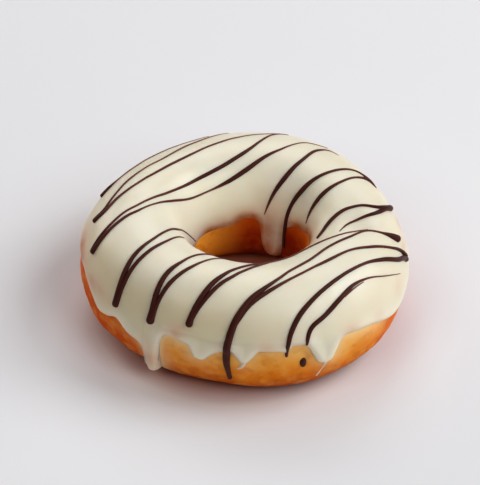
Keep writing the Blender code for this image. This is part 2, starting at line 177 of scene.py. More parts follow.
# The drizzle's strokes on the surface: (turn, lean, half width)
STROKES = (
    ((165.5, 42, .55), (161, 49, .45), (156, 54, .24), (149, 58, .21), (133, 60, .18), (118, 60, .13),
     (106, 57, .1)),
    ((-178, 45, .62), (179, 58, .4), (172, 66, .28), (158.5, 74, .26), (147, 78, .2), (134.5, 80, .21),
     (122, 75, .22), (110, 68, .18), (97, 53, .1)),
    ((-178, 45, .62), (-179.5, 58, .42), (172.4, 73, .34), (162, 85, .27), (149.5, 91, .29),
     (128, 92, .3), (114.3, 88, .25), (101.6, 82, .22), (90.5, 74, .16), (82, 67, .13), (72, 52, .12)),
    ((-163.8, 35, .72), (-166.3, 48, .46), (-170.3, 66, .32), (-176.5, 83, .27), (174.8, 99, .26),
     (160.3, 116, .3), (141.8, 124, .35), (123.8, 122, .46), (107, 115, .48), (93.3, 103, .46),
     (83.4, 86, .3), (77, 64, .19), (72, 52, .1)),
    ((-163.8, 35, .72), (-165, 50, .46), (-168.3, 68, .4), (-174.2, 87, .34), (177.2, 105, .22),
     (161.6, 126, .3), (141, 139, .26), (121.2, 138, .25), (103, 131, .52), (87.9, 119, .57),
     (76.9, 103, .4), (68.3, 87, .22), (61.2, 68, .13), (53, 56, .1)),
    ((46, 59, .06), (50.5, 61, .14), (54, 76, .32), (56, 101, .45), (59.4, 124, .58), (65.1, 144, .4),
     (71, 164, .1)),
    ((22.3, 46, .1), (26, 52, .4), (31, 59, .28), (35.5, 82, .32), (38.4, 104, .42), (41.2, 127, .6),
     (45.3, 149, .46), (47.2, 172, .42), (48.2, 188, .36)),
    ((22.3, 46, .1), (26, 53, .4), (27.4, 69, .3), (26.5, 94, .35), (24.9, 118, .52), (22.8, 140, .3),
     (21, 152, .1)),
    ((10.8, 39, .92), (8, 51, .6), (6, 63, .46), (8.3, 85, .33), (7.2, 99, .42), (.9, 116, .47),
     (-12, 131, .34)),
    ((10.8, 40, .85), (6.5, 54, .66), (2, 66, .52), (-1, 86, .34), (-4.5, 98, .22), (-10, 104, .1)),
    ((-12, 76, .1), (-17.5, 89, .18), (-24.5, 101, .2), (-33.5, 113, .24), (-46, 121, .26),
     (-60, 121, .28), (-74, 117, .3), (-86, 110, .3), (-97.4, 96, .33), (-105, 79, .55), (-109, 58, .62),
     (-111.2, 38, .66), (-111.8, 25, .95)),
    ((-72, 117, .12), (-80, 110, .25), (-93.6, 93, .33), (-102, 77, .46), (-107, 58, .5),
     (-110.6, 37, .5), (-111.8, 27, .6)),
    ((-142.2, 15, .88), (-142.7, 30, .68), (-144.2, 48, .6), (-147.1, 69, .5), (-150.4, 90, .34),
     (-158.5, 115, .28), (-171, 136, .26), (174, 151, .18), (148, 178, .1)),
    ((-142.2, 15, .8), (-141.9, 34, .54), (-143, 61, .48), (-144.4, 83, .4), (-147, 106, .26),
     (-152, 122, .2), (-160, 137, .14), (-170, 147, .08)),
    ((-126.7, 16.5, 1.05), (-126.8, 30, .74), (-127.7, 50, .62), (-127.9, 72, .55), (-125.9, 91, .3),
     (-121.5, 114, .24), (-115, 137, .1)),
    ((-126.7, 16.5, .95), (-125.8, 38, .52), (-124.2, 62, .5), (-121, 82, .4), (-117, 96, .25),
     (-112, 112, .2), (-108, 122, .1)),
    ((-7, 36, .98), (-9, 46, .8), (-11, 60, .34), (-14.1, 78, .26), (-24.6, 91, .3), (-38, 99, .3),
     (-53.8, 97, .31), (-68, 91, .29), (-79.3, 80, .42), (-87.8, 65, .66), (-93.2, 46, .76),
     (-96.4, 22, .85), (-97.2, 4, .82), (-96.7, -9, .58), (-96, -23.5, .52)),
    ((-9, 17, .75), (-10.6, 29, .5), (-15, 45, .34), (-23.1, 68, .35), (-32.3, 83, .3), (-44.6, 88, .38),
     (-57.4, 88, .28), (-69.7, 83, .32), (-80.1, 73, .46), (-88.4, 59, .56), (-95, 34, .45)),
    ((-9.2, 15, .75), (-11.8, 23, .62), (-16, 31, .58), (-24.3, 50, .5), (-32, 62, .36), (-43, 68, .4),
     (-53.8, 66, .47), (-63.2, 58, .52), (-70.4, 45, .6), (-74.8, 28, .56), (-76.4, 12, .42),
     (-76.5, 5, .3)),
    ((-19, 20, .08), (-29, 38, .16), (-37.6, 51, .24), (-45, 54.5, .4), (-53.2, 49, .56),
     (-61.4, 39, .54), (-67.5, 30, .52), (-69.4, 20, .42), (-69.4, 14, .3)),
    ((-39.5, 50.5, .08), (-43.5, 51.5, .16), (-48, 50.5, .2), (-51.5, 48, .1)),
)

# Thin runs of icing that trailed down the bare dough: (turn, lean, half width)
ICING_RUNS = (
    ((-62.2, -1, .6), (-62.8, -6, .3), (-63.8, -12, .16), (-65.2, -22, .2), (-65.4, -24, .16)),
    ((-90.8, 3, .7), (-91.4, -1, .45), (-92.4, -4, .3), (-93.6, -5, .2)),
)
RUN_THIN = 0.4
RUN_STAND = -0.35

# How beads of chocolate stand on the glaze, how their ends round off, and how they settle
# over the icing's lip
BEAD_STAND = 0.25
BEAD_FULLNESS = 1.22
TIP_SHARE = 1.35
TIP_BLUNTNESS = 0.004
OVER_LIP = 1.8
SETTLING = 4

# The hole's wall, and where painted light falls on its lit left part; the rest of the wall gets painted
# shade
HOLE_WALL_FROM = 120.0
HOLE_WALL_FADE = 45.0
HOLE_WALL_TO = 270.0
HOLE_LIGHT_TURN = 175.0
HOLE_LIGHT_HALF = 22.0
HOLE_LIGHT_FADE = 66.0
HOLE_LIGHT_SHARE = 0.95

# Where the outside fried to a deep orange, and where glaze crept over the crust:
# (turn, half width, share)
DEEP_PLACES = ((-165.0, 56.0, 0.93), (-8.0, 42.0, 0.9))
FILM_PLACES = ((-86.0, 62.0, 0.45), (-122.0, 20.0, 0.7), (-48.0, 18.0, 0.7))
FILM_WIDTH = 1.7

# Painted light on the glaze of the hole's far wall
WALL_LIGHT_TURN = 114.0
WALL_LIGHT_HALF = 50.0
WALL_LIGHT_FROM = 112.0
WALL_LIGHT_FADE = 30.0
WALL_LIGHT_SHARE = 0.85

# Warm painted shade low on the outside of the glaze, most on the left
ICING_SHADE_TURN = -145.0
ICING_SHADE_HALF = 80.0
ICING_SHADE_LEAST = 0.4
ICING_SHADE_FROM = 74.0
ICING_SHADE_FADE = 46.0
ICING_SHADE_LIP_SHARE = 0.25
ICING_SHADE_LIP_START = 1.0
ICING_SHADE_LIP_WIDTH = 4.0

# The fallen drop of chocolate on the bare dough: across, along, out
DROP_TURN = -70.7
DROP_LEAN = -1.0
DROP_SIZE = (0.92, 1.65, 0.9)

# The drizzle set with a soft sheen, the drop with a glossier skin
DRIZZLE_ROUGHNESS = 0.34
DRIZZLE_SPECULAR = 0.1
DROP_ROUGHNESS = 0.2
DROP_SPECULAR = 0.15

# Painted shade in the paper, a reddish contact shadow round the ring and dark ground in its hole: its
# middle, and how far out it fades away
PAINTED_SHADE_MIDDLE = (-2.0, -3.0, 0.0)
PAINTED_SHADE_REACH = 54.0

# The paper's width, and how far it lies under the object's lowest point
FLOOR_SIZE = 6000.0
FLOOR_DROP = 0.2

# Fineness of the dressed pieces
DOUGH_COLUMNS = 420
DOUGH_ROWS = 220
ICING_COLUMNS = 660
ICING_OUTER_ROWS = 100
ICING_INNER_ROWS = 44
BEAD_SIDES = 12
BEAD_STEP = 0.22
DROP_FINENESS = 4
FRONT_TURN = -90.0
FRONT_SHARE = 0.35
CROWDING = 0.4
STEEPEST = 12.0
EDGE_PLACES = 7200
SMOOTH_PLACES = 15
PROBE = 0.25
WELD = 1e-4
TINY = 1e-12


def waves(turn, terms):
    """Sum of a few sine waves round the ring."""
    angle = np.radians(turn)
    return sum(level * np.cos(times * angle) + slant * np.sin(times * angle)
               for times, level, slant in terms)


def ease(value):
    """Smooth step from 0 to 1."""
    value = np.clip(value, 0.0, 1.0)
    return value * value * (3.0 - 2.0 * value)


def apart(turn, other):
    """Signed angle from one turn to another, within half a turn."""
    return (turn - other + 180.0) % 360.0 - 180.0


def crease(x, y):
    """Depth of the crease at a place seen from above."""
    ahead = y - (CREASE_Y + CREASE_SLOPE * (x - CREASE_PIVOT_X))
    across = ease(ahead / CREASE_FALL) * (1.0 - ease((ahead - CREASE_FALL) / CREASE_RISE))
    along = ease((x - CREASE_FROM_X) / CREASE_IN) * (1.0 - ease((x - CREASE_TO_X) / CREASE_OUT))
    return CREASE_DEPTH * across * along


def surface(turn, lean):
    """Points of the doughnut's outer surface, not yet cut flat underneath."""
    turn, lean = np.broadcast_arrays(np.asarray(turn, float), np.asarray(lean, float))
    cosine = np.cos(np.radians(lean))
    sine = np.sin(np.radians(lean))
    out_r = OUT_R + waves(turn, OUT_WAVES)
    hole_r = HOLE_R + waves(turn, HOLE_WAVES)
    top = HEIGHT + waves(turn, TOP_WAVES)
    crest = hole_r + (out_r - hole_r) * CREST_SHARE
    outside = cosine > 0.0
    fullness = np.where(outside, OUT_FULLNESS, np.where(sine > 0.0, HOLE_FULLNESS, FOOT_FULLNESS))
    belly = np.where(outside, BELLY_Z, BELLY_Z + (HOLE_BELLY_Z - BELLY_Z) * np.abs(cosine))
    width = np.where(outside, out_r - crest, hole_r - crest)
    radius = crest + width * np.abs(cosine) ** fullness
    rise = np.abs(sine) ** fullness
    height = belly + np.where(sine > 0.0, top - belly, -(belly + BASE_CUT)) * rise
    x = radius * np.cos(np.radians(turn))
    y = radius * np.sin(np.radians(turn))
    height = height - crease(x, y) * np.maximum(sine, 0.0) ** CREASE_FADE
    return np.stack((x, y, height), axis=-1)


def unit(vectors):
    """Vectors made one long."""
    return vectors / np.maximum(np.linalg.norm(vectors, axis=-1, keepdims=True), TINY)


def outward(turn, lean):
    """The surface's outward directions."""
    round_ring = surface(turn + PROBE, lean) - surface(turn - PROBE, lean)
    round_section = surface(turn, lean + PROBE) - surface(turn, lean - PROBE)
    return unit(np.cross(round_ring, round_section))


def bump(offset):
    """A swell's outline, flared where it leaves the edge."""
    return np.where(np.abs(offset) < 1.0, ease(SWELL_FLARE * (1.0 - np.abs(offset))), 0.0)


def swollen(turn, swells):
    """Total drop of the swells at a turn."""
    return sum(drop * bump(apart(turn, centre) / half) for centre, half, drop in swells)


def rims(turn):
    """Leans of the icing's edges without their lips and drips."""
    return RIM - swollen(turn, RIM_SWELLS), HOLE_RIM + swollen(turn, HOLE_SWELLS)


def hermite(t, span, start, end, start_slope, end_slope):
    """A smooth step from start to end that leaves and arrives at the given slopes."""
    return ((2 * t ** 3 - 3 * t ** 2 + 1) * start + (t ** 3 - 2 * t ** 2 + t) * span * start_slope
            + (3 * t ** 2 - 2 * t ** 3) * end + (t ** 3 - t ** 2) * span * end_slope)


def once_round(line, turn):
    """A smooth closed line through (turn, lean) points, which turns back only at a point."""
    marks = np.array([mark[0] for mark in line], float)
    leans = np.tile([float(mark[1]) for mark in line], 3)
    marks = np.concatenate((marks - 360.0, marks, marks + 360.0))
    secants = np.diff(leans) / np.diff(marks)
    before, after = secants[:-1], secants[1:]
    onward = before * after > 0.0
    slopes = np.zeros_like(leans)
    slopes[1:-1] = np.where(onward, 2.0 * before * after / np.where(onward, before + after, 1.0), 0.0)
    at = (np.asarray(turn, float) + 180.0) % 360.0 - 180.0
    left = np.clip(np.searchsorted(marks, at, side="right") - 1, 0, len(marks) - 2)
    span = marks[left + 1] - marks[left]
    return hermite((at - marks[left]) / span, span, leans[left], leans[left + 1], slopes[left],
                   slopes[left + 1])


def edges(turn):
    """Leans of the icing's outer and inner edge."""
    return once_round(RIM_LINE, turn), once_round(HOLE_LINE, turn)


def edge_finder():
    """Both edges of the icing as places in mm, to find how far a place is from them."""
    turn = np.linspace(-180.0, 180.0, EDGE_PLACES, endpoint=False)
    places = np.concatenate([surface(turn, lean) for lean in edges(turn)])
    finder = kdtree.KDTree(len(places))
    for index, place in enumerate(places.tolist()):
        finder.insert(place, index)
    finder.balance()
    return finder


def distances(finder, points):
    """How far in mm each point is from the icing's nearest edge."""
    flat = points.reshape(-1, 3).tolist()
    return np.array([finder.find(point)[2] for point in flat]).reshape(points.shape[:-1])


def sink(turn, lean):
    """How deep the dough lies under the outer surface, deeper below the icing."""
    low, high = rims(turn)
    covered = ease((lean - low) / BLEND) * ease((high - lean) / BLEND)
    return BARE_SINK + (COVERED_SINK - BARE_SINK) * covered


def lift(turn, lean):
    """How far the icing stands over the outer surface, more along its rim and in drips."""
    low, high = rims(turn)
    near_rim = ease((low - lean + BLEND) / BLEND)
    below = np.maximum(low - lean, lean - high)
    return SKIN_LIFT + (EDGE_LIFT - SKIN_LIFT) * near_rim + DRIP_LIFT * ease(below / BLEND)


def lumps(points, size, seed):
    """Smooth noise from -1 to 1 at points in mm, with lumps about size across."""
    offset = Vector([seed * step for step in SEED_STEPS])
    flat = points.reshape(-1, 3) / size
    values = [noise.noise(Vector(place) + offset) for place in flat.tolist()]
    return np.array(values).reshape(points.shape[:-1]) * NOISE_GAIN


def relief(points, layers):
    """Height of a fine relief at points in mm."""
    return sum(height * lumps(points, size, seed) for height, size, seed in layers)


def column_turns(columns, crowding):
    """Columns round the ring, closer at the front and where an edge of the icing is steep."""
    turn = np.linspace(-180.0, 180.0, EDGE_PLACES + 1)
    steep = np.max([np.abs(np.gradient(line, turn)) for line in edges(turn)], axis=0)
    density = (1.0 + FRONT_SHARE * np.cos(np.radians(turn - FRONT_TURN))
               + crowding * np.minimum(steep, STEEPEST))
    window = 2 * SMOOTH_PLACES + 1
    wrapped = np.concatenate((density[-SMOOTH_PLACES - 1:-1], density, density[1:SMOOTH_PLACES + 1]))
    density = np.convolve(wrapped, np.ones(window) / window, "valid")
    total = np.concatenate(((0.0,), np.cumsum(0.5 * (density[1:] + density[:-1]))))
    return np.interp(np.arange(columns) / columns * total[-1], total, turn)


def ring_mesh(name, points, values):
    """A closed torus mesh from a grid of points in mm, with one float attribute per name."""
    columns, rows = points.shape[:2]
    index = np.arange(columns * rows).reshape(columns, rows)
    after_column = np.roll(index, -1, axis=0)
    after_row = np.roll(index, -1, axis=1)
    both = np.roll(after_column, -1, axis=1)
    faces = np.stack((index, after_column, both, after_row), axis=-1).reshape(-1, 4)
    mesh = bpy.data.meshes.new(name)
    mesh.from_pydata(((points + SHIFT) * MM).reshape(-1, 3).tolist(), [], faces.tolist())
    for key, value in values.items():
        layer = mesh.attributes.new(key, "FLOAT", "POINT")
        layer.data.foreach_set("value", np.ascontiguousarray(value, dtype=np.float32).ravel())
    mesh.polygons.foreach_set("use_smooth", [True] * len(mesh.polygons))
    mesh.update()
    piece = bpy.data.objects.new(name, mesh)
    bpy.context.scene.collection.objects.link(piece)
    return piece


def dough_points(turn, lean):
    """The fried ring: recessed under the icing, flat underneath, its crust faintly lumpy."""
    base = surface(turn, lean)
    normal = outward(turn, lean)
    point = base - normal * sink(turn, lean)[..., None]
    # Room under the icing's crease, from a little before it starts
    upper = np.maximum(np.sin(np.radians(lean)), 0.0)
    x, y = base[..., 0], base[..., 1]
    early = np.max([crease(x, y + lead) for lead in CREASE_LEAD], axis=0)
    point[..., 2] -= np.maximum(CREASE_ROOM * early - crease(x, y), 0.0) * upper
    outer = np.cos(np.radians(lean))
    rougher = 1.0 + np.where(outer > 0.0, ROUGHER_OUTSIDE, CALMER_IN_HOLE) * outer
    point += normal * (relief(base, CRUST_RELIEF) * rougher)[..., None]
    point[..., 2] = np.maximum(point[..., 2], 0.0)
    return point


def make_dough(finder):
    """Fine torus of fried dough that keeps the colour of each place: how it fried, and the painted light
    and painted shade on its hole's wall.
    """
    turn, lean = np.meshgrid(column_turns(DOUGH_COLUMNS, 0.0),
                             360.0 * np.arange(DOUGH_ROWS) / DOUGH_ROWS, indexing="ij")
    # Painted shade on the hole's wall, with painted light on its lit left part
    in_hole = ease((lean - HOLE_WALL_FROM) / HOLE_WALL_FADE) * (lean < HOLE_WALL_TO)
    from_light = np.abs(apart(turn, HOLE_LIGHT_TURN))
    shaded = ease((from_light - HOLE_LIGHT_HALF) / HOLE_LIGHT_FADE)
    near_icing = np.exp(-distances(finder, surface(turn, lean)) / FILM_WIDTH)
    points = dough_points(turn, lean)
    return ring_mesh("fried_dough", points, {
        "height": points[..., 2],
        "deep_brown": in_hole * shaded,
        "deep_orange": (1.0 - in_hole) * swollen(turn, DEEP_PLACES),
        "pale_crust": HOLE_LIGHT_SHARE * in_hole * (1.0 - shaded),
        "outside": 1.0 - in_hole,
        "film": (1.0 - in_hole) * swollen(turn, FILM_PLACES) * near_icing})


def glaze_points(turn, lean, under, finder):
    """Places on the icing's free side, or on its side against the dough, and how far in they are."""
    base = surface(turn, lean)
    from_edge = distances(finder, base)
    outside = lean < 90.0
    lip = np.where(outside, LIP_ROUND, HOLE_LIP_ROUND)
    near = 1.0 - np.clip(from_edge / lip, 0.0, 1.0)
    roundness = np.where(outside, np.sqrt(np.clip(1.0 - near * near, 0.0, 1.0)), 1.0 - near * near)
    swell = LIP_SWELL * np.exp(-((from_edge - LIP_FROM_EDGE) / LIP_SPREAD) ** 2) * outside
    fold = (np.exp(-((lean - FOLD_LEAN) / FOLD_SPREAD) ** 2)
            * ease(apart(turn, FOLD_FROM) / FOLD_FADE) * ease(-apart(turn, FOLD_TO) / FOLD_FADE))
    top = lift(turn, lean) + swell + relief(base, ICING_RELIEF) - FOLD_DEPTH * fold
    past = (lean < 0.0) | (lean > 180.0)
    belly = np.where(outside, 0.0, 180.0)
    reach = (surface(turn, belly) - base) * np.array((1.0, 1.0, 0.0)) * HANG * past[..., None]
    normal = np.where(past[..., None], outward(turn, belly), outward(turn, lean))
    bottom = -(sink(turn, lean) + np.where(outside, LAP, HOLE_LAP)) - np.linalg.norm(reach, axis=-1)
    height = bottom + (top - bottom) * np.where(under, 0.0, roundness)
    points = base + reach + normal * height[..., None]
    points[..., 2] = np.maximum(points[..., 2], LOWEST_GLAZE)
    return points, from_edge


def thinness(turn, lean, from_edge):
    """How far the dough shows through the icing, from 0 to 1."""
    low, _ = edges(turn)
    patches = 0.0
    for at_turn, at_lean, size, share in THIN_PLACES:
        along, across = apart(turn, at_turn) / size, 0.5 * (lean - at_lean) / size
        patches = patches + share * np.exp(-along ** 2 - across ** 2)
    high_lip = ease((low - HIGH_LIP_FROM) / HIGH_LIP_FADE)
    rim = np.exp(-from_edge / LIP_THIN_WIDTH) * (LIP_THIN + HIGH_LIP_THIN * high_lip)
    hole = np.exp(-(from_edge / HOLE_LIP_THIN_WIDTH) ** 2)
    return np.clip(np.maximum(patches, np.where(lean < 90.0, rim, hole)), 0.0, 1.0)


def skirt(turn, lean, from_edge):
    """How much warm painted shade lies low on the glaze's outside, less along its lip, from 0 to 1."""
    around = ICING_SHADE_LEAST + (1.0 - ICING_SHADE_LEAST) * bump(apart(turn, ICING_SHADE_TURN) / ICING_SHADE_HALF)
    down = ease((ICING_SHADE_FROM - lean) / ICING_SHADE_FADE)
    off_lip = ease((from_edge - ICING_SHADE_LIP_START) / ICING_SHADE_LIP_WIDTH)
    return around * down * (ICING_SHADE_LIP_SHARE + (1.0 - ICING_SHADE_LIP_SHARE) * off_lip)


def pooled(turn, lean):
    """How much painted light lies on the glaze of the hole's far wall, from 0 to 1."""
    around = bump(apart(turn, WALL_LIGHT_TURN) / WALL_LIGHT_HALF)
    return WALL_LIGHT_SHARE * around * ease((lean - WALL_LIGHT_FROM) / WALL_LIGHT_FADE)


def make_icing(finder):
    """Fine shell of glaze over the crown with rounded lips, drips and soft swells."""
    outer = 0.5 * (1.0 - np.cos(np.pi * np.arange(ICING_OUTER_ROWS + 1) / ICING_OUTER_ROWS))
    inner = 0.5 * (1.0 - np.cos(np.pi * np.arange(ICING_INNER_ROWS - 1, 0, -1) / ICING_INNER_ROWS))
    under = np.concatenate((np.zeros(len(outer), bool), np.ones(len(inner), bool)))
    turn, share = np.meshgrid(column_turns(ICING_COLUMNS, CROWDING), np.concatenate((outer, inner)),
                              indexing="ij")
    low, high = edges(turn)
    lean = low + (high - low) * share
    points, from_edge = glaze_points(turn, lean, under, finder)
    return ring_mesh("icing_glaze", points, {
        "thin": thinness(turn, lean, from_edge),
        "skirt": skirt(turn, lean, from_edge),
        "pooled": pooled(turn, lean)})


def add_node(tree, kind, settings=None, links=None):
    """One node with its settings, the colour stops of a ramp, and the sockets that feed it."""
    node = tree.nodes.new(kind)
    for key, value in (settings or {}).items():
        if key == "stops":
            for place, _ in value[1:-1]:
                node.color_ramp.elements.new(place)
            for stop, (place, code) in zip(node.color_ramp.elements, value):
                stop.position, stop.color = place, linear(code)
        elif isinstance(key, int) or key in node.inputs:
            node.inputs[key].default_value = value
        else:
            setattr(node, key, value)
    for key, source in (links or {}).items():
        tree.links.new(source, node.inputs[key])
    return node


def linear(code):
    """An sRGB hex colour as linear numbers."""
    parts = [int(code[k:k + 2], 16) / 255.0 for k in (1, 3, 5)]
    return tuple(p / 12.92 if p <= 0.04045 else ((p + 0.055) / 1.055) ** 2.4 for p in parts) + (1.0,)


def new_material(name, settings):
    """A material with a Principled shader of the given settings."""
    material = bpy.data.materials.new(name)
    material.use_nodes = True
    tree = material.node_tree
    tree.nodes.clear()
    shader = add_node(tree, "ShaderNodeBsdfPrincipled", settings)
    add_node(tree, "ShaderNodeOutputMaterial", links={"Surface": shader.outputs["BSDF"]})
    return material, tree, shader


def fried_dough_material():
    """Yeast dough fried in oil: a thin satin crust, amber at its waist, red-brown at its foot."""
    material, tree, shader = new_material("fried_dough_crust", {
        "Roughness": 0.55, "IOR": 1.4, "Specular IOR Level": 0.03, "Subsurface Weight": 0.25,
        "Subsurface Radius": (3.0 * MM, 1.0 * MM, 0.3 * MM), "Subsurface Scale": 1.0})
    place = add_node(tree, "ShaderNodeTexCoord").outputs["Object"]
    height = add_node(tree, "ShaderNodeAttribute", {"attribute_name": "height"}).outputs["Fac"]
    deep = add_node(tree, "ShaderNodeAttribute", {"attribute_name": "deep_brown"}).outputs["Fac"]
    pale = add_node(tree, "ShaderNodeAttribute", {"attribute_name": "pale_crust"}).outputs["Fac"]
    film = add_node(tree, "ShaderNodeAttribute", {"attribute_name": "film"}).outputs["Fac"]
    orange = add_node(tree, "ShaderNodeAttribute", {"attribute_name": "deep_orange"}).outputs["Fac"]
    outside = add_node(tree, "ShaderNodeAttribute", {"attribute_name": "outside"}).outputs["Fac"]
    # Browning wanders 3 mm up and down, by lumps of about 9 mm
    clouds = add_node(tree, "ShaderNodeTexNoise", {"Scale": 1.0 / (9.0 * MM), "Detail": 2.0},
                      {"Vector": place}).outputs["Fac"]
    wander = add_node(tree, "ShaderNodeMath", {"operation": "MULTIPLY_ADD", 1: 14.0, 2: -7.0},
                      {0: clouds}).outputs[0]
    shifted = add_node(tree, "ShaderNodeMath", {"operation": "ADD"}, {0: height, 1: wander}).outputs[0]
    up_side = add_node(tree, "ShaderNodeMapRange", {1: -1.0, 2: 21.0}, {0: shifted}).outputs[0]
    amber = add_node(tree, "ShaderNodeValToRGB", {"stops": (
        (0.0, "#8a2c05"), (0.25, "#bc4e0a"), (0.5, "#e07a16"), (0.75, "#ee9c34"), (1.0, "#f2b65c"))},
        {"Fac": up_side}).outputs["Color"]
    # Painted shade on the hole's wall: dark red-brown
    brown = add_node(tree, "ShaderNodeValToRGB", {"stops": (
        (0.0, "#6e2a18"), (0.3, "#862a0c"), (0.55, "#8c2003"), (1.0, "#cc5812"))},
        {"Fac": up_side}).outputs["Color"]
    fried = add_node(tree, "ShaderNodeMix", {"data_type": "RGBA", 7: linear("#d04a04")},
                     {0: orange, 6: amber}).outputs[2]
    hole_shaded = add_node(tree, "ShaderNodeMix", {"data_type": "RGBA"},
                       {0: deep, 6: fried, 7: brown}).outputs[2]
    # Painted light on the lit left part of the hole's wall
    lightened = add_node(tree, "ShaderNodeMix", {"data_type": "RGBA", 7: linear("#ffac3a")},
                         {0: pale, 6: hole_shaded}).outputs[2]
    # Cloudy spots of 4 mm where the outside stayed blond
    mottling = add_node(tree, "ShaderNodeTexNoise", {"Scale": 1.0 / (4.0 * MM), "Detail": 2.5,
                                                     "Roughness": 0.5}, {"Vector": place}).outputs["Fac"]
    blond = add_node(tree, "ShaderNodeMapRange", {1: 0.46, 2: 0.76, 3: 0.0, 4: 0.5},
                     {0: mottling}).outputs[0]
    blond_outside = add_node(tree, "ShaderNodeMath", {"operation": "MULTIPLY"},
                             {0: blond, 1: outside}).outputs[0]
    spotted = add_node(tree, "ShaderNodeMix", {"data_type": "RGBA", 7: linear("#f2ae56")},
                       {0: blond_outside, 6: lightened}).outputs[2]
    # Finer spots of 3 mm where it browned more
    specks = add_node(tree, "ShaderNodeTexNoise", {"Scale": 1.0 / (3.0 * MM), "Detail": 2.0,
                                                   "Roughness": 0.5}, {"Vector": place}).outputs["Fac"]
    toasted = add_node(tree, "ShaderNodeMapRange", {1: 0.5, 2: 0.75, 3: 0.0, 4: 0.5},
                       {0: specks}).outputs[0]
    speckled = add_node(tree, "ShaderNodeMix", {"data_type": "RGBA", 7: linear("#b85410")},
                        {0: toasted, 6: spotted}).outputs[2]
    # A veil of glaze that crept a little past the icing's edge
    filmed = add_node(tree, "ShaderNodeMix", {"data_type": "RGBA", 7: linear("#f2c98e")},
                      {0: film, 6: speckled}).outputs[2]
    # The lowest 3 mm are darker and browner still
    foot = add_node(tree, "ShaderNodeMapRange", {1: 0.5, 2: 3.5, 3: 0.75, 4: 0.0},
                    {0: height}).outputs[0]
    footed = add_node(tree, "ShaderNodeMix", {"data_type": "RGBA", 7: linear("#742004")},
                      {0: foot, 6: filmed}).outputs[2]
    tree.links.new(footed, shader.inputs["Base Color"])
    # Pores under 1 mm across break up the sheen
    pores = add_node(tree, "ShaderNodeTexNoise", {"Scale": 1.0 / (0.9 * MM), "Detail": 5.0,
                                                  "Roughness": 0.65}, {"Vector": place}).outputs["Fac"]
    grain = add_node(tree, "ShaderNodeBump", {"Strength": 0.22, "Distance": 0.4 * MM}, {"Height": pores})
    tree.links.new(grain.outputs["Normal"], shader.inputs["Normal"])
    return material


def icing_material():
    """White chocolate glaze poured warm and set: satin cream, warmer where the dough shows through, with
    painted light on the hole's far wall and warm painted shade low on the outside.
    """
    material, tree, shader = new_material("white_chocolate_glaze", {
        "Roughness": 0.36, "IOR": 1.46, "Subsurface Weight": 0.4,
        "Subsurface Radius": (4.0 * MM, 2.6 * MM, 1.4 * MM), "Subsurface Scale": 1.0})
    place = add_node(tree, "ShaderNodeTexCoord").outputs["Object"]
    thin = add_node(tree, "ShaderNodeAttribute", {"attribute_name": "thin"}).outputs["Fac"]
    # The glaze's thickness clouds its cream over about 16 mm
    clouds = add_node(tree, "ShaderNodeTexNoise", {"Scale": 1.0 / (16.0 * MM), "Detail": 2.0},
                      {"Vector": place}).outputs["Fac"]
    cream = add_node(tree, "ShaderNodeValToRGB", {"stops": ((0.3, "#ece2ca"), (0.7, "#f0e8d4"))},
                     {"Fac": clouds}).outputs["Color"]
    # Painted light on the hole's far wall, and warm painted shade low on the outside, most on the left
    painted_light_amount = add_node(tree, "ShaderNodeAttribute", {"attribute_name": "pooled"}).outputs["Fac"]
    whitened = add_node(tree, "ShaderNodeMix", {"data_type": "RGBA", 7: linear("#fff6da")},
                        {0: painted_light_amount, 6: cream}).outputs[2]
    # Warm khaki painted shade low on the outside, most on the left
    shade_attribute = add_node(tree, "ShaderNodeAttribute", {"attribute_name": "skirt"}).outputs["Fac"]
    shade_amount = add_node(tree, "ShaderNodeMath", {"operation": "MULTIPLY", 1: 0.85}, {0: shade_attribute}).outputs[0]
    shaded_cream = add_node(tree, "ShaderNodeMix", {"data_type": "RGBA", 7: linear("#dccda6")},
                        {0: shade_amount, 6: whitened}).outputs[2]
    # Thin places come and go over about 7 mm
    streaks = add_node(tree, "ShaderNodeTexNoise", {"Scale": 1.0 / (7.0 * MM), "Detail": 3.0},
                       {"Vector": place}).outputs["Fac"]
    patchy = add_node(tree, "ShaderNodeMapRange", {1: 0.3, 2: 0.7, 3: 0.6, 4: 1.25},
                      {0: streaks}).outputs[0]
    shown = add_node(tree, "ShaderNodeMath", {"operation": "MULTIPLY", "use_clamp": True},
                     {0: thin, 1: patchy}).outputs[0]
    # Pink-beige where the glaze is thin, orange-brown where the crust almost shows
    warmth = add_node(tree, "ShaderNodeValToRGB", {"stops": (
        (0.0, "#dcb094"), (0.5, "#d9a888"), (0.8, "#be6c3a"), (1.0, "#b4501c"))},
        {"Fac": thin}).outputs["Color"]
    tinted = add_node(tree, "ShaderNodeMix", {"data_type": "RGBA"},
                      {0: shown, 6: shaded_cream, 7: warmth}).outputs[2]
    tree.links.new(tinted, shader.inputs["Base Color"])
    # Faint ripples of 3.5 mm that stayed as it set
    ripple = add_node(tree, "ShaderNodeTexNoise", {"Scale": 1.0 / (3.5 * MM), "Detail": 2.0},
                      {"Vector": place}).outputs["Fac"]
    grain = add_node(tree, "ShaderNodeBump", {"Strength": 0.12, "Distance": 0.4 * MM},
                     {"Height": ripple})
    tree.links.new(grain.outputs["Normal"], shader.inputs["Normal"])
    return material


